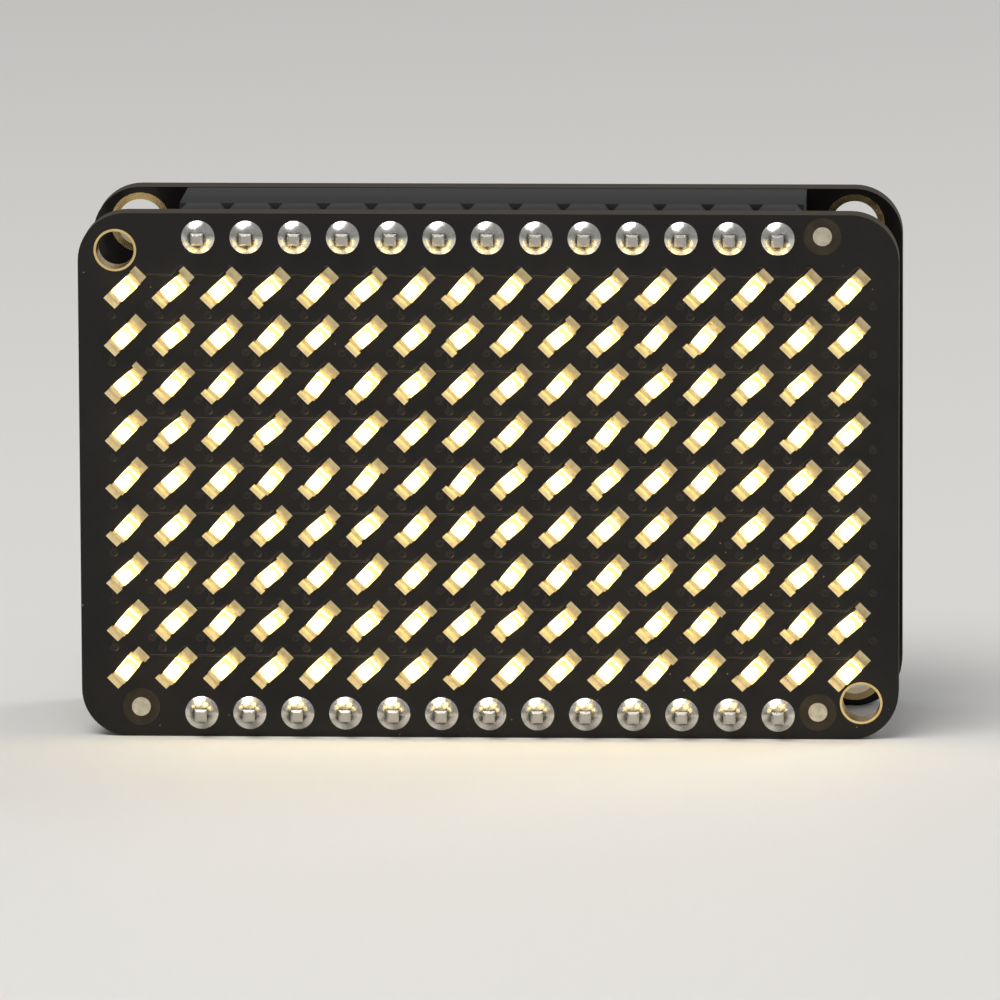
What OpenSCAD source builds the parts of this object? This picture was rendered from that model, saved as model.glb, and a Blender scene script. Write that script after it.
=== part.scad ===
/* [Grid] */
// Spacing of the grid that LEDs, header pins and wiring holes share
grid_spacing = 2.54; // [2.4:0.01:3]
// Columns of LEDs
led_columns = 16; // [14:1:16]
// Rows of LEDs
led_rows = 9; // [6:1:9]

/* [Boards] */
// Board left at each side of the LEDs' share of the grid
side_margin = 1.27; // [1.1:0.01:5]
// Board left above and below it, which holds the rows of pins
edge_margin = 2.54; // [2.3:0.01:5]
// Thickness of each board
board_thickness = 1.6; // [0.8:0.1:2.4]
// Radius of the boards' corners
board_corner_radius = 2.54; // [0.5:0.01:3.2]
// Thickness of the copper plating on rings, pads and hole walls
plating_thickness = 0.05; // [0.03:0.005:0.08]

/* [LEDs] */
// How far the LEDs' grid lies below the middle of the board
led_grid_drop = 0.14; // [0:0.01:0.2]
// How far it lies to the left of the middle
led_grid_aside = 0.06; // [0:0.01:0.1]
// Turn of each LED from level, in degrees
led_turn = 45; // [35:1:50]
// Most that an LED turned away from its pads as the solder set, in degrees
led_turn_drift = 6; // [0:1:10]
// Most that an LED slid from its pads as the solder set
led_slide_drift = 0.05; // [0:0.01:0.08]
// Length of the package
led_length = 1.6; // [1.5:0.05:1.7]
// Width of the package
led_width = 0.8; // [0.7:0.05:0.9]
// Thickness of the base that carries the lens
led_base_thickness = 0.25; // [0.2:0.01:0.4]
// Length of each plated end terminal
led_terminal_length = 0.35; // [0.26:0.01:0.45]
// Radius of the half-round notch in each end terminal
led_notch_radius = 0.18; // [0.1:0.01:0.24]
// Length of the lens where it meets the base
led_lens_length = 1.16; // [1:0.02:1.3]
// Height of the lens above the base
led_lens_height = 0.35; // [0.2:0.01:0.6]
// Slope of the lens's ends, in degrees
led_lens_draft = 7; // [0:1:12]
// How far the solder at each end stands out past the package's sides
led_solder_margin = 0.01; // [0.01:0.01:0.08]
// How far the solder at each end runs out over the board
led_solder_reach = 0.4; // [0.2:0.01:0.42]
// How far the solder climbs the end terminal, as a share of its height
led_solder_climb = 0.8; // [0.6:0.05:1]

/* [LED board holes and marks] */
// Bore of the LED board's two mounting holes
led_board_hole_diameter = 2; // [1.4:0.05:2.05]
// Outer diameter of the plated ring round each of them
led_board_ring_diameter = 2.25; // [2.2:0.05:2.4]
// How far these holes lie outward of the end columns' places in a centred grid
led_board_hole_aside = 0.57; // [0.45:0.01:0.9]
// How far they lie outward of the top and bottom rows' places in it
led_board_hole_beyond = 1.85; // [1.75:0.01:2.1]
// Diameter of the bare fiducial dots, which a placing machine sights on
fiducial_diameter = 1; // [0.6:0.05:1.4]
// Diameter of the clearing in the solder mask round each fiducial dot
fiducial_clearing_diameter = 2; // [1.6:0.05:2.05]
// Thickness of the solder mask, which is the depth of the clearings
mask_thickness = 0.025; // [0.01:0.005:0.04]

/* [Pin headers] */
// Pins in each of the two rows
header_pins = 13; // [7:1:13]
// Width of the plastic strips and of the sockets that they plug into
strip_width = 2.5; // [2.2:0.05:2.5]
// Board left between a strip and the long edge
strip_edge_gap = 0.02; // [0.01:0.01:0.06]
// Width across the flats of the square pins
pin_width = 0.64; // [0.5:0.01:0.66]
// How far the pins stand out of the LED board's front
pin_reach = 1; // [0.9:0.05:2]
// Length of the bevelled tips
pin_bevel = 0.12; // [0.05:0.01:0.18]
// Space left behind the inner tips, in front of the driver board
pin_tip_space = 0.5; // [0.35:0.05:1.5]
// Room across a pin's corners in its hole through a board
pin_hole_clearance = 0.095; // [0.05:0.005:0.2]
// Thickness of the plastic strip between the LED board and a socket
strip_height = 2.54; // [1.5:0.01:3]
// Depth of the vee notches where a strip can be snapped to length
strip_notch = 0.4; // [0.1:0.05:0.6]
// Diameter of the solder joint round each pin
pin_solder_diameter = 1.75; // [1.6:0.05:1.9]
// How far the solder climbs the pins
pin_solder_rise = 0.7; // [0.4:0.05:0.75]

/* [Sockets] */
// Height of the sockets on the driver board
socket_height = 5.7; // [5:0.05:8.5]
// Room round a pin in the mouth of a socket, on each side
mouth_clearance = 0.13; // [0.05:0.01:0.2]
// Depth and width of the bevel that guides a pin into the mouth
mouth_bevel = 0.3; // [0.1:0.05:0.45]
// Thickness of the socket wall under the bevel
mouth_wall = 0.4; // [0.3:0.05:0.8]
// Width across the two leaves of a contact, where they leave its foot
contact_spread = 1.3; // [1.1:0.05:1.4]
// Breadth of the leaves
contact_breadth = 0.7; // [0.5:0.05:0.8]
// Thickness of the contact metal
contact_thickness = 0.15; // [0.1:0.01:0.18]
// Room between a contact and the walls of its cavity
contact_clearance = 0.1; // [0.05:0.01:0.12]
// Height at which the leaves start to lean in to the pin
contact_bend_height = 0.9; // [0.6:0.05:1.2]
// Length of the flat where a leaf presses on the pin
contact_flat = 0.4; // [0.2:0.05:0.6]
// Length of the flared tips of the leaves
contact_lip = 0.5; // [0.3:0.05:0.7]
// How far the flared tips open on each side
contact_flare = 0.12; // [0.05:0.01:0.15]
// Width of the square tail of a contact
tail_width = 0.5; // [0.4:0.02:0.6]
// How far the tails stand out of the driver board's back
tail_reach = 1.4; // [1.1:0.05:1.8]
// Diameter of the solder joint round each tail
tail_solder_diameter = 1.7; // [1.5:0.05:1.9]
// How far the solder climbs the tails
tail_solder_rise = 0.7; // [0.4:0.05:0.9]

/* [Driver board holes] */
// Bore of the four corner mounting holes
driver_hole_diameter = 2.5; // [2:0.05:2.6]
// Outer diameter of the plated ring round each of them
driver_ring_diameter = 3.2; // [3:0.05:3.3]
// Distance of the mounting holes from the short edges
driver_hole_side_inset = 2.54; // [2.4:0.01:2.6]
// Distance of the mounting holes from the long edges
driver_hole_edge_inset = 1.905; // [1.8:0.005:2.2]
// Holes in the row for power and data, along one short edge
wiring_holes = 7; // [4:1:7]
// Bore of the wiring holes
wiring_hole_diameter = 1; // [0.8:0.05:1.1]
// Outer diameter of the plated ring round each of them
wiring_ring_diameter = 1.75; // [1.5:0.05:1.95]
// Distance of this row from the short edge
wiring_inset = 1.27; // [1.1:0.01:1.5]

/* [Driver chip] */
// Length of the moulded body
chip_length = 10.2; // [9.4:0.05:10.8]
// Width of the moulded body
chip_width = 5.3; // [4.4:0.05:6]
// Thickness of the moulded body
chip_thickness = 1.75; // [1.4:0.05:2]
// Height of the body's underside above the board
chip_standoff = 0.1; // [0.05:0.01:0.2]
// How far the body's walls lean in, above and below the leads
chip_lean = 0.12; // [0.05:0.01:0.2]
// Diameter of the dimple that marks the first lead
chip_dimple_diameter = 0.8; // [0.5:0.05:1]
// Depth of the dimple
chip_dimple_depth = 0.1; // [0.05:0.01:0.15]
// Leads on each long side
leads_per_side = 14; // [8:1:14]
// Spacing of the leads
lead_spacing = 0.65; // [0.5:0.01:0.67]
// Width of a lead
lead_width = 0.3; // [0.2:0.01:0.38]
// Thickness of a lead
lead_thickness = 0.15; // [0.1:0.01:0.2]
// How far the leads reach out from the body
lead_reach = 1.25; // [1.1:0.05:1.5]
// Length of the flat foot of a lead
lead_foot = 0.5; // [0.3:0.05:0.6]
// Inner radius of the bends in a lead
lead_bend_radius = 0.1; // [0.05:0.01:0.15]
// How far the solder runs out in front of a lead's foot
lead_solder_reach = 0.25; // [0.15:0.01:0.35]

/* [Small parts on the driver board] */
// Length of the large ceramic capacitor
large_capacitor_length = 2; // [1.6:0.05:2.4]
// Width of the large ceramic capacitor
large_capacitor_width = 1.25; // [1:0.05:1.4]
// Height of the large ceramic capacitor
large_capacitor_height = 1.2; // [0.8:0.05:1.4]
// Length of the small ceramic capacitors
small_capacitor_length = 1.6; // [1.4:0.05:1.8]
// Width of the small ceramic capacitors
small_capacitor_width = 0.8; // [0.6:0.05:1]
// Height of the small ceramic capacitors
small_capacitor_height = 0.8; // [0.5:0.05:1]
// Length of the chip resistors
resistor_length = 1.6; // [1.4:0.05:1.8]
// Width of the chip resistors
resistor_width = 0.8; // [0.6:0.05:1]
// Height of the chip resistors
resistor_height = 0.45; // [0.4:0.01:0.6]
// Length of the plated ends of these parts
small_part_end = 0.3; // [0.2:0.05:0.4]
// How far the solder runs out from their ends
small_part_solder_reach = 0.35; // [0.2:0.05:0.45]
// How far the solder climbs their ends
small_part_solder_rise = 0.35; // [0.2:0.05:0.4]
// Diameter of each pair of half-round address pads
address_pad_diameter = 1.5; // [1:0.05:1.8]
// Gap between the two halves of a pair
address_pad_gap = 0.3; // [0.2:0.05:0.5]

/* [Hidden] */
$fn = 48;
// Radius of a solder slope, as a share of the slope's length
solder_curve = 1.4;
// Where solder's slope starts inside a pin, as a share of the pin's width
slope_start = 0.45;
// How far a cutting shape runs past the face that it cuts
past = 0.5;

// Depths behind the LED board's front face, which is at depth 0
strip_depth = board_thickness;
socket_depth = strip_depth + strip_height;
driver_front_depth = socket_depth + socket_height;
driver_back_depth = driver_front_depth + board_thickness;

// The origin lies under the middle of the whole depth
back_reach = max(tail_reach, chip_standoff + chip_thickness);
led_face_y = (pin_reach - driver_back_depth - back_reach) / 2;

board_width = led_columns * grid_spacing + 2 * side_margin;
board_height = led_rows * grid_spacing + 2 * edge_margin;
header_row_y = board_height / 2 - strip_edge_gap - strip_width / 2;
strip_length = header_pins * grid_spacing;
pin_hole_diameter = pin_width * sqrt(2) + pin_hole_clearance;
led_count = led_rows * led_columns;
turn_drift = rands(-led_turn_drift, led_turn_drift, led_count, 16);
slide_drift_x = rands(-led_slide_drift, led_slide_drift, led_count, 9);
slide_drift_y = rands(-led_slide_drift, led_slide_drift, led_count, 144);
large_capacitor = [large_capacitor_length, large_capacitor_width, large_capacitor_height];
small_capacitor = [small_capacitor_length, small_capacitor_width, small_capacitor_height];
resistor = [resistor_length, resistor_width, resistor_height];
chip_top = chip_standoff + chip_thickness;
lead_middle = chip_standoff + chip_thickness / 2;

// Corners of a board, as the sides of x and y that they lie on
all_corners = [[-1, 1], [1, 1], [-1, -1], [1, -1]];
top_left = [-1, 1];
bottom_right = [1, -1];

// Fiducial dots: corner, and how far from the row's next free place, out and up or down
fiducials = [
    [[1, 1], [-0.2, 0.13]],
    [[-1, -1], [0.67, -0.31]],
    [[1, -1], [-0.44, -0.18]]
];

// Small parts on the driver board's back, seen from behind: place and turn
large_capacitor_places = [[-13.2, 5.2, 90]];
small_capacitor_places = [[-7.6, 2.2, 90], [-7.6, -2.2, 90]];
resistor_places = [[-15.6, -1.27, 0], [-15.6, -3.81, 0], [8, 2.4, 90], [8, -2.4, 90]];
address_pad_places = [[13.2, 2.54], [13.2, 0], [13.2, -2.54]];

led_row_numbers = [for (row = [1 : led_rows]) row];

// ---------- Frames and places ----------

// Draws on the LED board's front face: x to the right, y up, z out of the face
module on_led_face() {
    translate([0, led_face_y, board_height / 2]) rotate([90, 0, 0]) children();
}

// Draws on the driver board's front face, with the axes of on_led_face
module on_driver_front() {
    on_led_face() translate([0, 0, -driver_front_depth]) children();
}

// Draws on the driver board's back, seen from behind: x to the right, y up, z out
module on_driver_back() {
    translate([0, led_face_y + driver_back_depth, board_height / 2])
        rotate([90, 0, 180]) children();
}

function inset_from_corner(corner, inset) = [
    corner.x * (board_width / 2 - inset.x),
    corner.y * (board_height / 2 - inset.y)
];

// side is 1 for the top row of pins and -1 for the bottom row
module at_each_pin(side) {
    for (pin = [1 : header_pins])
        translate([(pin - (header_pins + 1) / 2) * grid_spacing, side * header_row_y, 0])
            children();
}

function led_place(row, column) = [
    (column - (led_columns + 1) / 2) * grid_spacing - led_grid_aside,
    ((led_rows + 1) / 2 - row) * grid_spacing - led_grid_drop
];

// Moves a package from the middle of its pads to where it came to rest
module drifted(row, column) {
    led = (row - 1) * led_columns + column - 1;
    translate([slide_drift_x[led], slide_drift_y[led], 0]) rotate(turn_drift[led]) children();
}

module at_each_led(row) {
    for (column = [1 : led_columns])
        translate(led_place(row, column)) rotate(led_turn) drifted(row, column) children();
}

module at_both_ends() {
    for (turn = [0, 180]) rotate(turn) children();
}

module at_places(places) {
    for (place = places) translate([place[0], place[1], 0]) rotate(place[2]) children();
}

module at_each_lead() {
    at_both_ends()
        for (lead = [1 : leads_per_side])
            translate([(lead - (leads_per_side + 1) / 2) * lead_spacing, chip_width / 2, 0])
                children();
}

module at_wiring_holes() {
    for (hole = [1 : wiring_holes])
        translate([board_width / 2 - wiring_inset, (hole - (wiring_holes + 1) / 2) * grid_spacing, 0])
            children();
}

// ---------- Shapes that recur ----------

// Block with its foot at z = 0, which narrows from the foot's size to the top's
module tapered_block(foot, top, height) {
    intersection() {
        rotate([90, 0, 0]) linear_extrude(foot.y, center = true)
            polygon([[-foot.x / 2, 0], [foot.x / 2, 0], [top.x / 2, height], [-top.x / 2, height]]);
        rotate([90, 0, 90]) linear_extrude(foot.x, center = true)
            polygon([[-foot.y / 2, 0], [foot.y / 2, 0], [top.y / 2, height], [-top.y / 2, height]]);
    }
}

// Square bar from z = low to z = high, bevelled where a bevel is given
module square_bar(width, low, high, low_bevel, high_bevel) {
    tip = [width - 2 * pin_bevel, width - 2 * pin_bevel];
    translate([-width / 2, -width / 2, low + low_bevel])
        cube([width, width, high - high_bevel - low - low_bevel]);
    if (high_bevel > 0)
        translate([0, 0, high - high_bevel]) tapered_block([width, width], tip, high_bevel);
    if (low_bevel > 0)
        translate([0, 0, low + low_bevel]) mirror([0, 0, 1])
            tapered_block([width, width], tip, low_bevel);
}

// Hollow slope of set solder, from [reach, 0] up to [0, rise]
module solder_slope(reach, rise) {
    slope = sqrt(reach * reach + rise * rise);
    radius = solder_curve * slope;
    off = sqrt(radius * radius - slope * slope / 4);
    difference() {
        polygon([[0, 0], [reach, 0], [0, rise]]);
        translate([reach / 2 + off * rise / slope, rise / 2 + off * reach / slope])
            circle(radius, $fn = 96);
    }
}

// Solder at the end of a part: its straight back lies at x = 0
module solder_wedge(width, reach, rise) {
    rotate([90, 0, 0]) linear_extrude(width, center = true) solder_slope(reach, rise);
}

// Solder joint round a square pin, with the board's face at z = 0
module solder_joint(diameter, rise, width) {
    neck = slope_start * width;
    difference() {
        union() {
            rotate_extrude() {
                translate([neck, 0]) solder_slope(diameter / 2 - neck, rise);
                square([neck, rise]);
            }
            translate([0, 0, -board_thickness]) cylinder(board_thickness, d = pin_hole_diameter);
        }
        translate([-width / 2, -width / 2, -board_thickness - past])
            cube([width, width, board_thickness + rise + 2 * past]);
    }
}

// Plated hole: a sleeve through the board, with a flat ring on each face
module plated_hole(bore, ring) {
    reach = (ring - bore) / 2;
    rotate_extrude() translate([bore / 2, 0]) {
        square([reach, plating_thickness]);
        translate([0, -board_thickness - plating_thickness]) square([reach, plating_thickness]);
        translate([0, -board_thickness - plating_thickness])
            square([plating_thickness, board_thickness + 2 * plating_thickness]);
    }
}

// Clears the sleeve of a plated hole out of a board whose front is at z = 0
module plated_hole_cut(bore) {
    translate([0, 0, -board_thickness - past])
        cylinder(board_thickness + 2 * past, d = bore + 2 * plating_thickness);
}

// Board with rounded corners and both rows of pin holes, its front at z = 0
module bare_board() {
    across = [board_width - 2 * board_corner_radius, board_height - 2 * board_corner_radius];
    difference() {
        translate([0, 0, -board_thickness]) linear_extrude(board_thickness) {
            square([board_width, across.y], center = true);
            square([across.x, board_height], center = true);
            for (corner = all_corners)
                translate([corner.x * across.x / 2, corner.y * across.y / 2])
                    circle(board_corner_radius);
        }
        for (side = [-1, 1]) at_each_pin(side) translate([0, 0, -board_thickness - past])
            cylinder(board_thickness + 2 * past, d = pin_hole_diameter);
    }
}

// Leadless part with a plated end at each side of its middle
module small_part_middle(size) {
    translate([0, 0, size.z / 2]) cube([size.x - 2 * small_part_end, size.y, size.z], center = true);
}

module small_part_ends(size) {
    at_both_ends() translate([size.x / 2 - small_part_end, -size.y / 2, 0])
        cube([small_part_end, size.y, size.z]);
}

module small_part_joints(size) {
    at_both_ends() translate([size.x / 2, 0, 0])
        solder_wedge(size.y, small_part_solder_reach, small_part_solder_rise);
}

// ---------- LED board ----------

module led_board() {
    color("#16120f") on_led_face() difference() {
        bare_board();
        translate(led_board_hole(top_left)) plated_hole_cut(led_board_hole_diameter);
        translate(led_board_hole(bottom_right)) plated_hole_cut(led_board_hole_diameter);
        for (dot = fiducials)
            translate(fiducial_place(dot[0], dot[1])) translate([0, 0, -mask_thickness])
                cylinder(mask_thickness + past, d = fiducial_clearing_diameter);
    }
}

function led_board_hole(corner) = [
    corner.x * ((led_columns - 1) / 2 * grid_spacing + led_board_hole_aside),
    corner.y * ((led_rows - 1) / 2 * grid_spacing + led_board_hole_beyond)
];

function fiducial_place(corner, shift) = [
    corner.x * ((header_pins + 1) / 2 * grid_spacing + shift.x),
    corner.y * (header_row_y + shift.y)
];

module corner_ring(corner) {
    color("#d9b45a") on_led_face() translate(led_board_hole(corner))
        plated_hole(led_board_hole_diameter, led_board_ring_diameter);
}

module fiducial_dots() {
    color("#cfc3a4") on_led_face() for (dot = fiducials)
        translate(fiducial_place(dot[0], dot[1])) translate([0, 0, -mask_thickness])
            cylinder(plating_thickness, d = fiducial_diameter);
}

// ---------- LEDs ----------

module led_bases(row) {
    length = led_length - 2 * led_terminal_length;
    color("#e8e2cc") on_led_face() at_each_led(row)
        translate([-length / 2, -led_width / 2, 0]) cube([length, led_width, led_base_thickness]);
}

module led_terminals(row) {
    color("#d8b765") on_led_face() at_each_led(row) at_both_ends() difference() {
        translate([led_length / 2 - led_terminal_length, -led_width / 2, 0])
            cube([led_terminal_length, led_width, led_base_thickness]);
        led_notch_cut();
    }
}

module led_notch_cut() {
    translate([led_length / 2, 0, -past])
        cylinder(led_base_thickness + 2 * past, r = led_notch_radius);
}

module led_lenses(row) {
    top_length = led_lens_length - 2 * led_lens_height * tan(led_lens_draft);
    color("#fff2b0") on_led_face() at_each_led(row) translate([0, 0, led_base_thickness])
        tapered_block([led_lens_length, led_width], [top_length, led_width], led_lens_height);
}

// Solder on an LED's two pads: it fills up to the package's ends, and into their notches
module led_solder() {
    rise = led_solder_climb * led_base_thickness;
    width = led_width + 2 * led_solder_margin;
    widest_gap = led_width * sin(led_turn_drift) + 2 * led_slide_drift;
    color("#c9c6c0") on_led_face()
        for (row = led_row_numbers, column = [1 : led_columns])
            translate(led_place(row, column)) rotate(led_turn) difference() {
                at_both_ends() translate([led_length / 2, 0, 0]) {
                    solder_wedge(width, led_solder_reach, rise);
                    translate([-led_notch_radius - widest_gap, -width / 2, 0])
                        cube([led_notch_radius + widest_gap, width, rise]);
                }
                drifted(row, column) difference() {
                    translate([-led_length / 2, -led_width, -past])
                        cube([led_length, 2 * led_width, led_base_thickness + 2 * past]);
                    at_both_ends() led_notch_cut();
                }
            }
}

// ---------- Pin headers ----------

module header_strip(side) {
    color("#1a1a1c") on_led_face()
        translate([0, 0, -socket_depth]) linear_extrude(strip_height)
            difference() {
                translate([0, side * header_row_y]) square([strip_length, strip_width], center = true);
                at_each_pin(side) square(pin_width, center = true);
                // A notch at each side of every pin leaves bevelled corners on the strip
                at_each_pin(side) for (x = [-1, 1], y = [-1, 1])
                    translate([x * grid_spacing / 2, y * strip_width / 2])
                        rotate(45) square(strip_notch * sqrt(2), center = true);
            }
}

module header_pins(side) {
    color("#d9c07a") on_led_face() at_each_pin(side)
        square_bar(pin_width, pin_tip_space - driver_front_depth, pin_reach, pin_bevel, pin_bevel);
}

module pin_solder(side) {
    color("#c9c6c0") on_led_face() at_each_pin(side)
        solder_joint(pin_solder_diameter, pin_solder_rise, pin_width);
}

// ---------- Sockets, drawn up from the driver board's front ----------

module socket(side) {
    mouth = pin_width + 2 * mouth_clearance;
    bevelled = mouth + 2 * mouth_bevel;
    cavity = [contact_breadth + 2 * contact_clearance, contact_spread + 2 * contact_clearance];
    cavity_height = socket_height - mouth_bevel - mouth_wall;
    color("#1a1a1c") on_driver_front() difference() {
        translate([-strip_length / 2, side * header_row_y - strip_width / 2, 0])
            cube([strip_length, strip_width, socket_height]);
        at_each_pin(side) {
            translate([-mouth / 2, -mouth / 2, cavity_height - past])
                cube([mouth, mouth, socket_height - cavity_height + 2 * past]);
            translate([0, 0, socket_height]) mirror([0, 0, 1])
                tapered_block([bevelled, bevelled], [mouth, mouth], mouth_bevel);
            translate([-cavity.x / 2, -cavity.y / 2, -past])
                cube([cavity.x, cavity.y, cavity_height + past]);
        }
    }
}

// Side view of one spring leaf, as across and up: it stands on the contact's foot
module contact_leaf() {
    tip = socket_height - mouth_bevel - mouth_wall - contact_clearance;
    foot = contact_spread / 2 - contact_thickness;
    pin_side = pin_width / 2;
    inner = [
        [foot, 0],
        [foot, contact_bend_height],
        [pin_side, tip - contact_lip - contact_flat],
        [pin_side, tip - contact_lip],
        [pin_side + contact_flare, tip]
    ];
    outer = [for (point = inner) point + [contact_thickness, 0]];
    back = [for (i = [len(outer) - 1 : -1 : 0]) outer[i]];
    polygon(concat(inner, back));
}

module socket_contacts(side) {
    color("#cbb26a") on_driver_front() at_each_pin(side) {
        rotate([90, 0, 90]) linear_extrude(contact_breadth, center = true) {
            contact_leaf();
            mirror([1, 0]) contact_leaf();
            translate([-contact_spread / 2, 0]) square([contact_spread, contact_thickness]);
        }
        square_bar(tail_width, -board_thickness - tail_reach, 0, pin_bevel, 0);
    }
}

module tail_solder(side) {
    color("#c9c6c0") on_driver_back() at_each_pin(side)
        solder_joint(tail_solder_diameter, tail_solder_rise, tail_width);
}

// ---------- Driver board ----------

function driver_hole(corner) =
    inset_from_corner(corner, [driver_hole_side_inset, driver_hole_edge_inset]);

module driver_board() {
    color("#16120f") on_driver_front() difference() {
        bare_board();
        for (corner = all_corners) translate(driver_hole(corner)) plated_hole_cut(driver_hole_diameter);
        at_wiring_holes() plated_hole_cut(wiring_hole_diameter);
    }
}

module driver_mounting_rings() {
    color("#d9b45a") on_driver_front() for (corner = all_corners)
        translate(driver_hole(corner)) plated_hole(driver_hole_diameter, driver_ring_diameter);
}

module wiring_rings() {
    color("#d9b45a") on_driver_front() at_wiring_holes()
        plated_hole(wiring_hole_diameter, wiring_ring_diameter);
}

module address_pads() {
    color("#d9b45a") on_driver_back() at_places([for (place = address_pad_places) [place.x, place.y, 0]])
        difference() {
            cylinder(plating_thickness, d = address_pad_diameter);
            cube([address_pad_gap, address_pad_diameter + past, past], center = true);
        }
}

// ---------- Driver chip, on the driver board's back ----------

module driver_chip() {
    body = [chip_length, chip_width];
    face = [chip_length - 2 * chip_lean, chip_width - 2 * chip_lean];
    half = (chip_thickness - lead_thickness) / 2;
    dimple_inset = chip_lean + chip_dimple_diameter;
    color("#1d1d20") on_driver_back() difference() {
        union() {
            translate([0, 0, lead_middle]) cube([body.x, body.y, lead_thickness], center = true);
            translate([0, 0, lead_middle + lead_thickness / 2]) tapered_block(body, face, half);
            translate([0, 0, lead_middle - lead_thickness / 2]) mirror([0, 0, 1])
                tapered_block(body, face, half);
        }
        translate([dimple_inset - body.x / 2, dimple_inset - body.y / 2, chip_top - chip_dimple_depth])
            cylinder(chip_dimple_depth + past, d = chip_dimple_diameter);
    }
}

// Quarter of a ring of lead metal, in the corner where x and y are above 0
module lead_bend() {
    size = lead_bend_radius + lead_thickness;
    intersection() {
        difference() {
            circle(size);
            circle(lead_bend_radius);
        }
        square(size);
    }
}

// Side view of a gull-wing lead: out of the body at x = 0, down, and out to its foot
module lead_profile() {
    bend = lead_bend_radius + lead_thickness;
    foot_start = lead_reach - lead_foot;
    shoulder = foot_start - bend - lead_bend_radius;
    shoulder_height = lead_middle - lead_thickness / 2;
    translate([0, shoulder_height]) square([shoulder, lead_thickness]);
    translate([shoulder, shoulder_height - lead_bend_radius]) lead_bend();
    translate([shoulder + lead_bend_radius, bend])
        square([lead_thickness, shoulder_height - lead_bend_radius - bend]);
    translate([foot_start, bend]) rotate(180) lead_bend();
    translate([foot_start, 0]) square([lead_foot, lead_thickness]);
}

module driver_chip_leads() {
    color("#c8c8c8") on_driver_back() at_each_lead()
        rotate([90, 0, 90]) linear_extrude(lead_width, center = true) lead_profile();
}

module driver_chip_solder() {
    color("#c9c6c0") on_driver_back() at_each_lead()
        translate([0, lead_reach, 0]) rotate(90)
            solder_wedge(lead_width, lead_solder_reach, lead_thickness);
}

// ---------- Small parts, on the driver board's back ----------

module capacitors() {
    color("#8a6a48") on_driver_back() {
        at_places(large_capacitor_places) small_part_middle(large_capacitor);
        at_places(small_capacitor_places) small_part_middle(small_capacitor);
    }
}

module capacitor_ends() {
    color("#c8c8c8") on_driver_back() {
        at_places(large_capacitor_places) small_part_ends(large_capacitor);
        at_places(small_capacitor_places) small_part_ends(small_capacitor);
    }
}

module resistors() {
    color("#1b1b1d") on_driver_back() at_places(resistor_places) small_part_middle(resistor);
}

module resistor_ends() {
    color("#c8c8c8") on_driver_back() at_places(resistor_places) small_part_ends(resistor);
}

module small_part_solder() {
    color("#c9c6c0") on_driver_back() {
        at_places(large_capacitor_places) small_part_joints(large_capacitor);
        at_places(small_capacitor_places) small_part_joints(small_capacitor);
        at_places(resistor_places) small_part_joints(resistor);
    }
}

led_board();
corner_ring(top_left);  // corner_ring_top_left
corner_ring(bottom_right);  // corner_ring_bottom_right
fiducial_dots();
header_strip(1);  // top_header_strip
header_pins(1);  // top_header_pins
pin_solder(1);  // top_pin_solder
header_strip(-1);  // bottom_header_strip
header_pins(-1);  // bottom_header_pins
pin_solder(-1);  // bottom_pin_solder
socket(1);  // top_socket
socket_contacts(1);  // top_socket_contacts
tail_solder(1);  // top_tail_solder
socket(-1);  // bottom_socket
socket_contacts(-1);  // bottom_socket_contacts
tail_solder(-1);  // bottom_tail_solder
driver_board();
driver_mounting_rings();
wiring_rings();
address_pads();
driver_chip();
driver_chip_leads();
driver_chip_solder();
capacitors();
capacitor_ends();
resistors();
resistor_ends();
small_part_solder();
for (row = led_row_numbers) {
    led_bases(row);
    led_terminals(row);
    led_lenses(row);
}
led_solder();
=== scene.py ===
import math

import bpy
from mathutils import Matrix, Vector


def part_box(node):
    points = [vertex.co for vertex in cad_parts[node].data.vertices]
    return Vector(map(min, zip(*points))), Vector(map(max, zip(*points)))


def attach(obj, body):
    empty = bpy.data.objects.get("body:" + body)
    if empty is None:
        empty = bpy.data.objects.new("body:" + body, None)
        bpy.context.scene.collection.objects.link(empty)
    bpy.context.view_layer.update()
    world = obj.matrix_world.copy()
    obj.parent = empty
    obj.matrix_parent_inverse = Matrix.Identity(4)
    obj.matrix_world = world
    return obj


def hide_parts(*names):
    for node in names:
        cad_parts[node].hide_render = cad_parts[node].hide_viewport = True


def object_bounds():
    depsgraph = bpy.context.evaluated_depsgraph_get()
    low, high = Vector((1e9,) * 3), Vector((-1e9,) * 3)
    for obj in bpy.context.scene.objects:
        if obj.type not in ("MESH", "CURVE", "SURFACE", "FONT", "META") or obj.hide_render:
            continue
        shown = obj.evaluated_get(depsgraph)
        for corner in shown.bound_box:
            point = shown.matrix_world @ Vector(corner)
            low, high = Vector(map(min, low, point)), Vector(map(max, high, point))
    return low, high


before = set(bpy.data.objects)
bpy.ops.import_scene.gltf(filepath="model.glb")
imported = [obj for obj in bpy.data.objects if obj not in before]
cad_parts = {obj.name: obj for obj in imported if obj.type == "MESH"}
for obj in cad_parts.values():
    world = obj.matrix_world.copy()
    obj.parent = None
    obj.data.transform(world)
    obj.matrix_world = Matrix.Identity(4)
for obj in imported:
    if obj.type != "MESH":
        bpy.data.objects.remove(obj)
cad_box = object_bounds()


# ---------- Standing place, light and camera ----------
# The display stands on its long edge on a plain pale table, in the soft light of a studio.
# The table is a matt board, wide enough to fill every view, and two softboxes hang over it.

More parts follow.
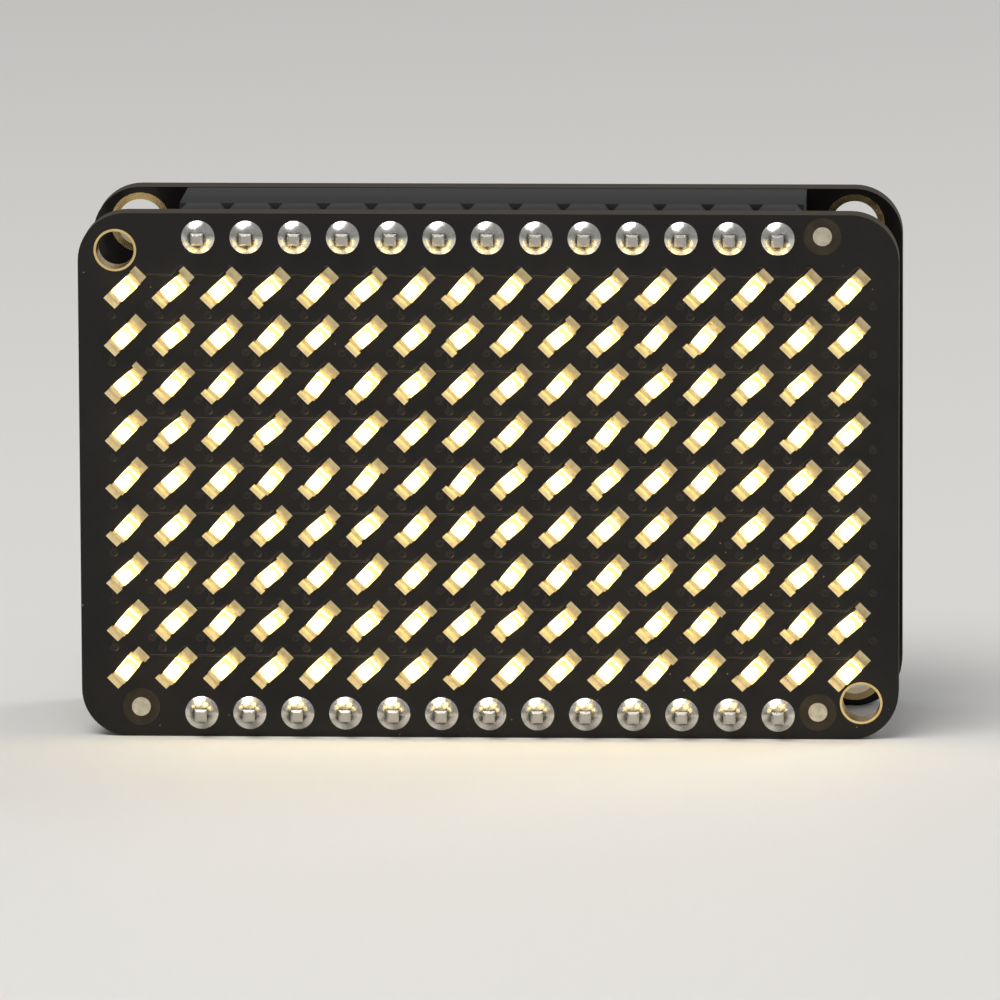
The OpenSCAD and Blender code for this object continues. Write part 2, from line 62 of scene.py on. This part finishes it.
MM = 0.001
TABLE_HALF = 3.0
TABLE_COLOUR = (0.74, 0.73, 0.71)
SKY_COLOUR = (0.86, 0.87, 0.88)
SKY_STRENGTH = 0.40
low, high = (Vector(corner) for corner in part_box("led_board"))
board_middle = (low + high) / 2
solder_low, solder_high = (Vector(corner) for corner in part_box("led_solder"))
led_middle = (solder_low + solder_high) / 2
led_middle.y = board_middle.y


def new_finish(name, colour, roughness, metallic=0.0):
    material = bpy.data.materials.new(name)
    material.use_nodes = True
    shader = material.node_tree.nodes["Principled BSDF"]
    shader.inputs["Base Color"].default_value = (*colour, 1)
    shader.inputs["Roughness"].default_value = roughness
    shader.inputs["Metallic"].default_value = metallic
    return material, shader


def clear_selection():
    for thing in list(bpy.context.selected_objects):
        thing.select_set(False)


clear_selection()
bpy.ops.mesh.primitive_plane_add(size=2 * TABLE_HALF, location=(0, 0, cad_box[0][2]))
table = bpy.context.object
table.name = "table"
table_board, table_shader = new_finish("matt_board", TABLE_COLOUR, 0.6)
table_shader.inputs["Specular IOR Level"].default_value = 0.25
table.data.materials.append(table_board)

world = bpy.data.worlds.new("studio")
bpy.context.scene.world = world
world.use_nodes = True
sky = world.node_tree.nodes["Background"]
sky.inputs["Color"].default_value = (*SKY_COLOUR, 1)
sky.inputs["Strength"].default_value = SKY_STRENGTH


def hang_softbox(name, place, size, energy, colour):
    data = bpy.data.lights.new(name, "AREA")
    data.shape = "RECTANGLE"
    data.size, data.size_y = size
    data.energy = energy
    data.color = colour
    lamp = bpy.data.objects.new(name, data)
    bpy.context.scene.collection.objects.link(lamp)
    lamp.location = place
    lamp.rotation_euler = (board_middle - Vector(place)).to_track_quat("-Z", "Y").to_euler()


hang_softbox(
    "overhead_softbox",
    place=(-0.18, -0.25, 0.55),
    size=(0.5, 0.35),
    energy=2.9,
    colour=(1, 0.98, 0.95),
)
hang_softbox(
    "side_softbox",
    place=(0.6, 0.35, 0.4),
    size=(0.3, 0.4),
    energy=1.6,
    colour=(0.95, 0.97, 1),
)

CAMERA_TURN = math.radians(3.0)
CAMERA_RISE = math.radians(9.57)
CAMERA_ROLL = math.radians(-0.26)
CAMERA_REACH = 0.646
CAMERA_NEAREST = 0.01
CAMERA_ASIDE = 0.615 * MM
CAMERA_DROP = 1.23 * MM
CAMERA_LENS_MM = 441
CAMERA_SENSOR_MM = 36
aim = led_middle + Vector((CAMERA_ASIDE, 0, -CAMERA_DROP))
turning = (
    Matrix.Rotation(CAMERA_TURN, 4, "Z")
    @ Matrix.Rotation(math.pi / 2 - CAMERA_RISE, 4, "X")
    @ Matrix.Rotation(CAMERA_ROLL, 4, "Z")
)
lens = bpy.data.cameras.new("camera")
lens.sensor_width = CAMERA_SENSOR_MM
lens.lens = CAMERA_LENS_MM
lens.clip_start = CAMERA_NEAREST
camera = bpy.data.objects.new("camera", lens)
bpy.context.scene.collection.objects.link(camera)
camera.matrix_world = Matrix.Translation(aim) @ turning @ Matrix.Translation((0, 0, CAMERA_REACH))
bpy.context.scene.camera = camera
bpy.context.scene.view_settings.view_transform = "Standard"


# ---------- Circuit boards ----------
# Both boards are 1.6 mm laminate of woven glass and epoxy, under a glossy black solder mask.
# The weave and the mask's flow show as a faint unevenness, and the routed edges as dark laminate.
# Round the sighting dots the mask is left open, and the brown laminate shows there.

MASK_DARK = (0.0068, 0.0060, 0.0056)
MASK_PALE = (0.0120, 0.0100, 0.0088)
LAMINATE_DARK = (0.022, 0.017, 0.010)
LAMINATE_PALE = (0.060, 0.045, 0.026)
CLEARING_LEAST_DEPTH = 0.012 * MM
CLEARING_MOST_DEPTH = 0.2 * MM
WEAVE_SCALE = 320.0
DUST = (0.16, 0.14, 0.11)
SQUARE_ON = 0.7
board_face = low.y


def add_node(material, kind, inputs, **settings):
    node = material.node_tree.nodes.new("ShaderNode" + kind)
    for setting, value in settings.items():
        setattr(node, setting, value)
    for socket, value in inputs.items():
        if isinstance(value, bpy.types.NodeSocket):
            material.node_tree.links.new(value, node.inputs[socket])
        else:
            node.inputs[socket].default_value = value
    return node


def join_nodes(material, source, target):
    material.node_tree.links.new(source, target)


def place_on(material):
    return add_node(material, "TexCoord", {}).outputs["Object"]


def noise_on(material, vector, scale, detail=3.0, roughness=0.5):
    inputs = {"Vector": vector, "Scale": scale, "Detail": detail, "Roughness": roughness}
    return add_node(material, "TexNoise", inputs).outputs["Fac"]


def ramp_on(material, factor, stops):
    """Colours by a factor: a new ramp has two steps already, and the stops past those are added."""
    node = add_node(material, "ValToRGB", {"Fac": factor})
    steps = node.color_ramp.elements
    for index, (position, colour) in enumerate(stops):
        step = steps[index] if index < 2 else steps.new(position)
        step.position = position
        step.color = (*colour, 1)
    return node.outputs["Color"]


def bump_on(material, shader, height, distance, strength=1.0):
    inputs = {"Height": height, "Distance": distance, "Strength": strength}
    bump = add_node(material, "Bump", inputs)
    join_nodes(material, bump.outputs["Normal"], shader.inputs["Normal"])


def dress(material, *names):
    for name in names:
        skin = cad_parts[name].data.materials
        skin.clear()
        skin.append(material)


def math_on(material, operation, first, second=0.0, third=0.0):
    inputs = {0: first, 1: second, 2: third}
    return add_node(material, "Math", inputs, operation=operation).outputs[0]


def mix_on(material, factor, first, second):
    inputs = {"Factor": factor, 6: first, 7: second}
    return add_node(material, "Mix", inputs, data_type="RGBA").outputs[2]


board_mask, shader = new_finish("black_solder_mask", MASK_DARK, 0.16)
shader.inputs["Specular IOR Level"].default_value = 0.24
place = place_on(board_mask)
facing = add_node(board_mask, "TexCoord", {}).outputs["Normal"]
facing_parts = add_node(board_mask, "SeparateXYZ", {"Vector": facing})
across = math_on(board_mask, "ABSOLUTE", facing_parts.outputs["Y"])
is_face = math_on(board_mask, "GREATER_THAN", across, SQUARE_ON)
place_parts = add_node(board_mask, "SeparateXYZ", {"Vector": place})
depth = math_on(board_mask, "SUBTRACT", place_parts.outputs["Y"], board_face)
below_mask = math_on(board_mask, "GREATER_THAN", depth, CLEARING_LEAST_DEPTH)
near_front = math_on(board_mask, "LESS_THAN", depth, CLEARING_MOST_DEPTH)
is_clearing = math_on(board_mask, "MULTIPLY", below_mask, near_front)
has_mask = math_on(board_mask, "MULTIPLY_ADD", is_clearing, -1.0, 1.0)
has_mask = math_on(board_mask, "MULTIPLY", has_mask, is_face)

cloud = noise_on(board_mask, place, 260.0, 4.0)
mask_colour = ramp_on(board_mask, cloud, [(0.35, MASK_DARK), (0.7, MASK_PALE)])
dust = add_node(board_mask, "TexVoronoi", {"Vector": place, "Scale": 1100.0})
is_speck = math_on(board_mask, "LESS_THAN", dust.outputs["Distance"], 0.045)
is_dusty = noise_on(board_mask, place, 130.0, 2.0)
is_dusty = math_on(board_mask, "GREATER_THAN", is_dusty, 0.52)
speck = math_on(board_mask, "MULTIPLY", is_speck, is_dusty)
mask_colour = mix_on(board_mask, speck, mask_colour, (*DUST, 1))
layers = add_node(board_mask, "Mapping", {"Vector": place, "Scale": (1, 14, 1)}).outputs["Vector"]
edge_grain = noise_on(board_mask, layers, 900.0, 5.0, 0.7)
edge_colour = ramp_on(board_mask, edge_grain, [(0.3, LAMINATE_DARK), (0.75, LAMINATE_PALE)])
board_colour = mix_on(board_mask, has_mask, edge_colour, mask_colour)
join_nodes(board_mask, board_colour, shader.inputs["Base Color"])
board_gloss = add_node(board_mask, "MapRange", {"Value": has_mask, "To Min": 0.62, "To Max": 0.15})
join_nodes(board_mask, board_gloss.outputs["Result"], shader.inputs["Roughness"])


def weave_along(direction):
    inputs = {"Vector": place, "Scale": WEAVE_SCALE, "Distortion": 0.6, "Detail": 1.0}
    return add_node(board_mask, "TexWave", inputs, bands_direction=direction).outputs["Fac"]


weave = math_on(board_mask, "MULTIPLY", weave_along("X"), weave_along("Z"))
flow = noise_on(board_mask, place, 700.0, 2.0)
unevenness = math_on(board_mask, "MULTIPLY_ADD", weave, 0.5, flow)
bump_on(board_mask, shader, unevenness, 0.01 * MM, 0.6)
dress(board_mask, "led_board", "driver_board")

# ---------- Copper under the mask ----------
# Lines of etched copper join the parts, and the mask that covers them rises in low ridges.
# Small plated vias carry the lines through the LED board, each a ring with a dimple in the middle.

COPPER_RISE = 0.022 * MM
LED_LINE_WIDTH = 0.16 * MM
DRIVER_LINE_WIDTH = 0.28 * MM
VIA_RADIUS = 0.24 * MM
VIA_SLOPE = 0.05 * MM
VIA_RIM = 0.06 * MM
VIA_DIMPLE = 0.8 * COPPER_RISE
VIA_SIDES = 16
LED_COLUMNS = 16
LED_ROWS = 9
GRID = 2.54 * MM
first_led_x = led_middle.x - (LED_COLUMNS - 1) / 2 * GRID
first_led_z = led_middle.z + (LED_ROWS - 1) / 2 * GRID

covered_copper, shader = new_finish("mask_over_copper", (0.013, 0.0105, 0.0085), 0.18)
shader.inputs["Specular IOR Level"].default_value = 0.3
place = place_on(covered_copper)
ridge_tone = noise_on(covered_copper, place, 900.0, 4.0)
ridge_colour = ramp_on(
    covered_copper, ridge_tone, [(0.3, (0.010, 0.0085, 0.0072)), (0.7, (0.019, 0.015, 0.011))]
)
join_nodes(covered_copper, ridge_colour, shader.inputs["Base Color"])
bump_on(covered_copper, shader, ridge_tone, 0.006 * MM)


def pick_only(piece):
    clear_selection()
    piece.select_set(True)
    bpy.context.view_layer.objects.active = piece


def bake_place(piece):
    pick_only(piece)
    bpy.ops.object.transform_apply(location=True, rotation=True, scale=True)


def lay_lines(name, routes, width, rise, face_y):
    """Low ridges along routes of (x, z) points on the board's face at face_y."""
    curve = bpy.data.curves.new(name, "CURVE")
    curve.dimensions = "3D"
    curve.bevel_depth = width / 2
    curve.bevel_resolution = 1
    curve.use_fill_caps = True
    for route in routes:
        spline = curve.splines.new("POLY")
        spline.points.add(len(route) - 1)
        for point, (x, z) in zip(spline.points, route):
            point.co = (x, z, 0, 1)
    piece = bpy.data.objects.new(name, curve)
    bpy.context.scene.collection.objects.link(piece)
    pick_only(piece)
    bpy.ops.object.convert(target="MESH")
    piece = bpy.context.object
    piece.name = name
    piece.scale = (1, 1, 2 * rise / width)
    bake_place(piece)
    piece.rotation_euler = (math.pi / 2, 0, 0)
    piece.location = (0, face_y, 0)
    bake_place(piece)
    return piece


def repeat(piece, count, step):
    """Copies a piece along a row, and keeps the row as one mesh."""
    pick_only(piece)
    row = piece.modifiers.new("row", "ARRAY")
    row.count = count
    row.use_relative_offset = False
    row.use_constant_offset = True
    row.constant_offset_displace = step
    bpy.ops.object.modifier_apply(modifier="row")


def fit_piece(piece, material):
    piece.data.materials.clear()
    piece.data.materials.append(material)
    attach(piece, "root")


def sink_via(name, x, z, face_y):
    """One via under the mask: a low ring, dimpled over its bore."""
    clear_selection()
    bpy.ops.mesh.primitive_circle_add(
        vertices=VIA_SIDES,
        radius=VIA_RADIUS,
        fill_type="NGON",
        location=(x, face_y, z),
        rotation=(math.pi / 2, 0, 0),
    )
    piece = bpy.context.object
    piece.name = name
    bpy.ops.object.mode_set(mode="EDIT")
    bpy.ops.mesh.select_all(action="SELECT")
    bpy.ops.mesh.extrude_region_move()
    bpy.ops.mesh.inset(thickness=VIA_SLOPE, depth=COPPER_RISE)
    bpy.ops.mesh.inset(thickness=VIA_RIM, depth=0)
    bpy.ops.mesh.inset(thickness=VIA_SLOPE, depth=-VIA_DIMPLE)
    bpy.ops.mesh.select_all(action="SELECT")
    bpy.ops.mesh.remove_doubles(threshold=0.0001 * MM)
    bpy.ops.mesh.normals_make_consistent(inside=False)
    bpy.ops.object.mode_set(mode="OBJECT")
    bake_place(piece)
    return piece


# Each gap between two rows of LEDs holds two rows of vias, with a via of each row to a column
RIGHT_VIA = (1.27 * MM, -0.87 * MM)
UPPER_VIA = (-0.72 * MM, 1.10 * MM - GRID)
for via_name, (aside, above) in (("led_vias_right", RIGHT_VIA), ("led_vias_upper", UPPER_VIA)):
    vias = sink_via(via_name, first_led_x + aside, first_led_z + above, board_face)
    repeat(vias, LED_COLUMNS, (GRID, 0, 0))
    repeat(vias, LED_ROWS - 1, (0, 0, -GRID))
    fit_piece(vias, covered_copper)


def from_first_led(points):
    """Points given in millimetres from the middle of the first LED, as places on the board."""
    return [(first_led_x + x * MM, first_led_z + z * MM) for x, z in points]


# A line joins the upper ends of neighbouring LEDs, and a stub joins each via to a lower end
link = from_first_led([(1.10, 0.60), (1.22, 0.66), (2.44, 0.66), (2.90, 1.10), (3.08, 1.14)])
led_links = lay_lines("led_links", [link], LED_LINE_WIDTH, COPPER_RISE, board_face)
repeat(led_links, LED_COLUMNS - 1, (GRID, 0, 0))
repeat(led_links, LED_ROWS, (0, 0, -GRID))
fit_piece(led_links, covered_copper)

right_stub = from_first_led([(1.27, -0.87), (1.55, -0.78)])
upper_stub = from_first_led([(-0.72, -1.44), (-0.80, -1.05)])
stubs = [right_stub, upper_stub]
led_stubs = lay_lines("led_stubs", stubs, LED_LINE_WIDTH, COPPER_RISE, board_face)
repeat(led_stubs, LED_COLUMNS - 1, (GRID, 0, 0))
repeat(led_stubs, LED_ROWS - 1, (0, 0, -GRID))
fit_piece(led_stubs, covered_copper)

# On the driver board the lines fan out from the chip's two rows of leads to the two rows of pins
HEADER_PINS = 13
CHIP_LEAD_SPACING = 0.65 * MM
FAN_FIRST_LEVEL = 4.9 * MM
FAN_LEVEL_STEP = 0.62 * MM
LEAD_FOOT = 4.0 * MM
TAIL_FOOT = 11.9 * MM
CORNER_CUT = 0.45 * MM
driver_low, driver_high = (Vector(corner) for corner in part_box("driver_board"))
driver_middle = (driver_low + driver_high) / 2
driver_face = driver_high.y
fan = []
for side in (-1, 1):
    for pin in range(HEADER_PINS):
        place_in_row = pin - (HEADER_PINS - 1) / 2
        lead_x = driver_middle.x + (place_in_row + 0.5) * CHIP_LEAD_SPACING
        pin_x = driver_middle.x + place_in_row * GRID
        level = FAN_FIRST_LEVEL + ((HEADER_PINS - 1) / 2 - abs(place_in_row)) * FAN_LEVEL_STEP
        outward = math.copysign(CORNER_CUT, pin_x - lead_x)
        route = [
            (lead_x, LEAD_FOOT),
            (lead_x, level - CORNER_CUT),
            (lead_x + outward, level),
            (pin_x - outward, level),
            (pin_x, level + CORNER_CUT),
            (pin_x, TAIL_FOOT),
        ]
        if abs(pin_x - lead_x) < 2 * CORNER_CUT:
            route = [route[0], route[1], (pin_x, level + CORNER_CUT), route[5]]
        fan.append([(x, driver_middle.z + side * z) for x, z in route])
driver_lines = lay_lines("driver_lines", fan, DRIVER_LINE_WIDTH, COPPER_RISE, driver_face)
fit_piece(driver_lines, covered_copper)

# ---------- Plated holes, pads and dots ----------
# The mounting and wiring holes have sleeves of gold-plated copper with a flat ring on each face.
# The address pads are gold too, and the sighting dots are bare tinned copper, dull from handling.

gold, shader = new_finish("plated_gold", (0.83, 0.62, 0.27), 0.2, 1.0)
place = place_on(gold)
wear = noise_on(gold, place, 1800.0, 5.0)
gold_tone = ramp_on(gold, wear, [(0.3, (0.72, 0.50, 0.19)), (0.7, (0.88, 0.68, 0.33))])
join_nodes(gold, gold_tone, shader.inputs["Base Color"])
gold_gloss = add_node(gold, "MapRange", {"Value": wear, "To Min": 0.14, "To Max": 0.34})
join_nodes(gold, gold_gloss.outputs["Result"], shader.inputs["Roughness"])
bump_on(gold, shader, noise_on(gold, place, 5200.0), 0.004 * MM)
dress(
    gold,
    "corner_ring_top_left",
    "corner_ring_bottom_right",
    "driver_mounting_rings",
    "wiring_rings",
    "address_pads",
)

dull_tin, shader = new_finish("dull_tin", (0.72, 0.66, 0.52), 0.42, 1.0)
place = place_on(dull_tin)
stain = noise_on(dull_tin, place, 2600.0, 5.0)
tin_tone = ramp_on(dull_tin, stain, [(0.25, (0.50, 0.44, 0.33)), (0.75, (0.80, 0.74, 0.60))])
join_nodes(dull_tin, tin_tone, shader.inputs["Base Color"])
bump_on(dull_tin, shader, stain, 0.01 * MM)
dress(dull_tin, "fiducial_dots")

# ---------- Solder ----------
# Every joint is bright lead-free solder that has drawn itself up into a hollow slope.
# It has a fine frosting where it cooled last, and small ripples round its foot.

solder, shader = new_finish("bright_solder", (0.74, 0.72, 0.69), 0.16, 1.0)
place = place_on(solder)
frost = noise_on(solder, place, 2400.0, 6.0, 0.6)
solder_tone = ramp_on(solder, frost, [(0.3, (0.62, 0.60, 0.56)), (0.7, (0.82, 0.80, 0.77))])
join_nodes(solder, solder_tone, shader.inputs["Base Color"])
solder_gloss = add_node(solder, "MapRange", {"Value": frost, "To Min": 0.14, "To Max": 0.38})
join_nodes(solder, solder_gloss.outputs["Result"], shader.inputs["Roughness"])
bump_on(solder, shader, noise_on(solder, place, 1500.0, 4.0), 0.035 * MM, 0.8)
dress(
    solder,
    "top_pin_solder",
    "bottom_pin_solder",
    "top_tail_solder",
    "bottom_tail_solder",
    "driver_chip_solder",
    "small_part_solder",
)

# ---------- Pins and sockets ----------
# Square plated pins run through black nylon strips and plug into black sockets on the driver
# board, and solder has tinned their ends where they pass the boards.
# The plastic is glass-filled, so its skin is finely speckled and only half matt.

PIN_TIN = (0.50, 0.48, 0.45)
NYLON_EDGE = 0.08 * MM

pin_metal, shader = new_finish("plated_pin", (0.80, 0.66, 0.36), 0.24, 1.0)
place = place_on(pin_metal)
drawn = add_node(pin_metal, "Mapping", {"Vector": place, "Scale": (1, 0.06, 1)}).outputs["Vector"]
draw_marks = noise_on(pin_metal, drawn, 9000.0, 3.0)
pin_tone = ramp_on(pin_metal, draw_marks, [(0.3, (0.66, 0.52, 0.26)), (0.7, (0.84, 0.71, 0.42))])
pin_places = add_node(pin_metal, "SeparateXYZ", {"Vector": place})
past_front = math_on(pin_metal, "LESS_THAN", pin_places.outputs["Y"], board_face)
past_back = math_on(pin_metal, "GREATER_THAN", pin_places.outputs["Y"], driver_face)
is_tinned = math_on(pin_metal, "MAXIMUM", past_front, past_back)
pin_tone = mix_on(pin_metal, is_tinned, pin_tone, (*PIN_TIN, 1))
join_nodes(pin_metal, pin_tone, shader.inputs["Base Color"])
bump_on(pin_metal, shader, draw_marks, 0.006 * MM)
dress(
    pin_metal,
    "top_header_pins",
    "bottom_header_pins",
    "top_socket_contacts",
    "bottom_socket_contacts",
)

nylon, shader = new_finish("black_nylon", (0.016, 0.016, 0.018), 0.5)
place = place_on(nylon)
speckle = noise_on(nylon, place, 6500.0, 4.0, 0.7)
nylon_tone = ramp_on(nylon, speckle, [(0.3, (0.012, 0.012, 0.013)), (0.8, (0.030, 0.030, 0.032))])
join_nodes(nylon, nylon_tone, shader.inputs["Base Color"])
nylon_gloss = add_node(nylon, "MapRange", {"Value": speckle, "To Min": 0.50, "To Max": 0.72})
shader.inputs["Specular IOR Level"].default_value = 0.26
join_nodes(nylon, nylon_gloss.outputs["Result"], shader.inputs["Roughness"])
bump_on(nylon, shader, speckle, 0.012 * MM, 0.8)


def round_over(node_name, width, material, segments=2):
    """A copy of a moulded piece with the small radius that its mould leaves on every edge."""
    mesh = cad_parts[node_name].data.copy()
    piece = bpy.data.objects.new(node_name + "_moulded", mesh)
    bpy.context.scene.collection.objects.link(piece)
    pick_only(piece)
    bpy.ops.object.mode_set(mode="EDIT")
    bpy.ops.mesh.select_all(action="SELECT")
    bpy.ops.mesh.remove_doubles(threshold=0.0002 * MM)
    bpy.ops.mesh.dissolve_limited(angle_limit=math.radians(1))
    bpy.ops.object.mode_set(mode="OBJECT")
    edge = piece.modifiers.new("edge", "BEVEL")
    edge.width = width
    edge.segments = segments
    edge.limit_method = "ANGLE"
    edge.angle_limit = math.radians(50)
    bpy.ops.object.modifier_apply(modifier="edge")
    bpy.ops.object.shade_smooth_by_angle(angle=math.radians(35))
    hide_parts(node_name)
    fit_piece(piece, material)


for strip in ("top_header_strip", "bottom_header_strip", "top_socket", "bottom_socket"):
    round_over(strip, NYLON_EDGE, nylon)

# ---------- LEDs ----------
# Each LED is a white laminate chip with gold ends and a moulded resin lens over its glowing die.
# They stand in a square grid, each turned half a right angle, and all of them are lit warm white.
# The light is strongest over the die, colours the resin's edges and shines through the laminate. Its
# warm light on the LEDs' ends and their solder is painted into the colours of those.

LED_TURN = math.radians(45)
DIE_ASIDE = -0.15 * MM
DIE_REACH_ALONG = 0.74 * MM
DIE_REACH_ACROSS = 0.52 * MM
GLOW_STRENGTH = 14.0
GLOW_OF_SIDES = (0.34, 0.27, 0.12)
GLOW_OF_BASES = (1.0, 0.74, 0.34)
GLOW_STRENGTH_OF_BASES = 0.9
LENS_EDGE = 0.05 * MM
led_rows = range(1, LED_ROWS + 1)

laminate, shader = new_finish("white_laminate", (0.80, 0.76, 0.62), 0.45)
place = place_on(laminate)
fibres = noise_on(laminate, place, 5200.0, 4.0)
laminate_tone = ramp_on(laminate, fibres, [(0.3, (0.70, 0.64, 0.48)), (0.7, (0.84, 0.80, 0.67))])
join_nodes(laminate, laminate_tone, shader.inputs["Base Color"])
shader.inputs["Emission Color"].default_value = (*GLOW_OF_BASES, 1)
shader.inputs["Emission Strength"].default_value = GLOW_STRENGTH_OF_BASES
bump_on(laminate, shader, fibres, 0.006 * MM)
dress(laminate, *(f"led_bases_row_{row}" for row in led_rows))

# The ends are gold plated, and their colour is warmed further as painted light from the lit LEDs.
end_gold_and_painted_light, shader = new_finish("gold_led_end_and_painted_light", (0.84, 0.68, 0.38), 0.42, 0.8)
place = place_on(end_gold_and_painted_light)
end_wear = noise_on(end_gold_and_painted_light, place, 4200.0, 4.0)
end_tone_and_painted_light = ramp_on(end_gold_and_painted_light, end_wear, [(0.3, (0.68, 0.52, 0.24)), (0.7, (0.86, 0.71, 0.40))])
join_nodes(end_gold_and_painted_light, end_tone_and_painted_light, shader.inputs["Base Color"])
bump_on(end_gold_and_painted_light, shader, end_wear, 0.006 * MM)
dress(end_gold_and_painted_light, *(f"led_terminals_row_{row}" for row in led_rows))

# The solder at the LEDs' ends is painted warm gold. This is painted light from the lit LEDs, laid
# over the solder's own pale grey.
led_joint_painted_warm_light, shader = new_finish("led_solder_painted_warm_light", (0.95, 0.77, 0.42), 0.42, 1.0)
place = place_on(led_joint_painted_warm_light)
joint_frost = noise_on(led_joint_painted_warm_light, place, 3200.0, 5.0, 0.6)
joint_tone_painted_warm_light = ramp_on(led_joint_painted_warm_light, joint_frost, [(0.3, (0.86, 0.65, 0.31)), (0.7, (0.99, 0.85, 0.52))])
join_nodes(led_joint_painted_warm_light, joint_tone_painted_warm_light, shader.inputs["Base Color"])
joint_gloss = add_node(led_joint_painted_warm_light, "MapRange", {"Value": joint_frost, "To Min": 0.28, "To Max": 0.52})
join_nodes(led_joint_painted_warm_light, joint_gloss.outputs["Result"], shader.inputs["Roughness"])
bump_on(led_joint_painted_warm_light, shader, noise_on(led_joint_painted_warm_light, place, 2100.0, 4.0), 0.03 * MM, 0.8)
dress(led_joint_painted_warm_light, "led_solder")

glow, shader = new_finish("lit_resin", (0.60, 0.50, 0.25), 0.3)
place = place_on(glow)
from_middle = add_node(
    glow, "VectorMath", {0: place, 1: tuple(-led_middle)}, operation="ADD"
).outputs[0]
grid_parts = add_node(glow, "SeparateXYZ", {"Vector": from_middle})


def from_led(value, count):
    """Distance from the nearest LED's middle along one direction of the grid."""
    shift = 0 if count % 2 else GRID / 2
    moved = math_on(glow, "ADD", value, shift + GRID / 2)
    within_step = math_on(glow, "FLOORED_MODULO", moved, GRID)
    return math_on(glow, "SUBTRACT", within_step, GRID / 2)


aside = from_led(grid_parts.outputs["X"], LED_COLUMNS)
above = from_led(grid_parts.outputs["Z"], LED_ROWS)
led_place = add_node(glow, "CombineXYZ", {"X": aside, "Y": above, "Z": 0.0}).outputs[0]
along_led = add_node(
    glow,
    "VectorRotate",
    {"Vector": led_place, "Axis": (0, 0, 1), "Angle": -LED_TURN},
).outputs[0]
from_die = add_node(
    glow, "VectorMath", {0: along_led, 1: (-DIE_ASIDE, 0, 0)}, operation="ADD"
).outputs[0]
die_shape = add_node(
    glow,
    "VectorMath",
    {0: from_die, 1: (1 / DIE_REACH_ALONG, 1 / DIE_REACH_ACROSS, 0)},
    operation="MULTIPLY",
).outputs[0]
from_core = add_node(glow, "VectorMath", {0: die_shape}, operation="LENGTH").outputs["Value"]
glow_colour = ramp_on(
    glow,
    from_core,
    [
        (0.0, (1.0, 0.95, 0.85)),
        (0.43, (0.50, 0.46, 0.33)),
        (0.61, (0.12, 0.107, 0.06)),
        (0.71, (0.075, 0.064, 0.024)),
        (0.89, (0.055, 0.045, 0.013)),
    ],
)
facing = add_node(glow, "TexCoord", {}).outputs["Normal"]
facing_parts = add_node(glow, "SeparateXYZ", {"Vector": facing})
is_front = math_on(glow, "LESS_THAN", facing_parts.outputs["Y"], -SQUARE_ON)
glow_colour = mix_on(glow, is_front, (*GLOW_OF_SIDES, 1), glow_colour)
join_nodes(glow, glow_colour, shader.inputs["Emission Color"])
shader.inputs["Emission Strength"].default_value = GLOW_STRENGTH
for row in led_rows:
    round_over(f"led_lenses_row_{row}", LENS_EDGE, glow)

# ---------- Driver chip and small parts ----------
# The driver is a moulded black package with tinned leads, beside brown capacitors and resistors.
# They sit on the driver board's back, where a solder paste stencil and an oven fixed them.

CHIP_EDGE = 0.07 * MM

moulding, shader = new_finish("moulding_compound", (0.018, 0.018, 0.020), 0.55)
place = place_on(moulding)
grain = noise_on(moulding, place, 7000.0, 5.0, 0.7)
moulding_tone = ramp_on(moulding, grain, [(0.3, (0.013, 0.013, 0.014)), (0.8, (0.034, 0.034, 0.036))])
join_nodes(moulding, moulding_tone, shader.inputs["Base Color"])
bump_on(moulding, shader, grain, 0.014 * MM, 0.8)
round_over("driver_chip", CHIP_EDGE, moulding)

tin, shader = new_finish("tinned_lead", (0.66, 0.66, 0.66), 0.32, 1.0)
place = place_on(tin)
lead_wear = noise_on(tin, place, 3600.0, 5.0)
lead_tone = ramp_on(tin, lead_wear, [(0.3, (0.54, 0.54, 0.53)), (0.7, (0.74, 0.74, 0.73))])
join_nodes(tin, lead_tone, shader.inputs["Base Color"])
bump_on(tin, shader, lead_wear, 0.008 * MM)
dress(tin, "driver_chip_leads", "capacitor_ends", "resistor_ends")

ceramic, shader = new_finish("brown_ceramic", (0.31, 0.20, 0.12), 0.42)
place = place_on(ceramic)
firing = noise_on(ceramic, place, 3000.0, 5.0)
ceramic_tone = ramp_on(ceramic, firing, [(0.3, (0.24, 0.15, 0.09)), (0.7, (0.36, 0.24, 0.15))])
join_nodes(ceramic, ceramic_tone, shader.inputs["Base Color"])
bump_on(ceramic, shader, firing, 0.01 * MM)
dress(ceramic, "capacitors")

glaze, shader = new_finish("black_glaze", (0.014, 0.014, 0.016), 0.22)
place = place_on(glaze)
glaze_flow = noise_on(glaze, place, 2400.0, 3.0)
glaze_tone = ramp_on(glaze, glaze_flow, [(0.3, (0.011, 0.011, 0.013)), (0.7, (0.022, 0.022, 0.025))])
join_nodes(glaze, glaze_tone, shader.inputs["Base Color"])
bump_on(glaze, shader, glaze_flow, 0.008 * MM)
dress(glaze, "resistors")
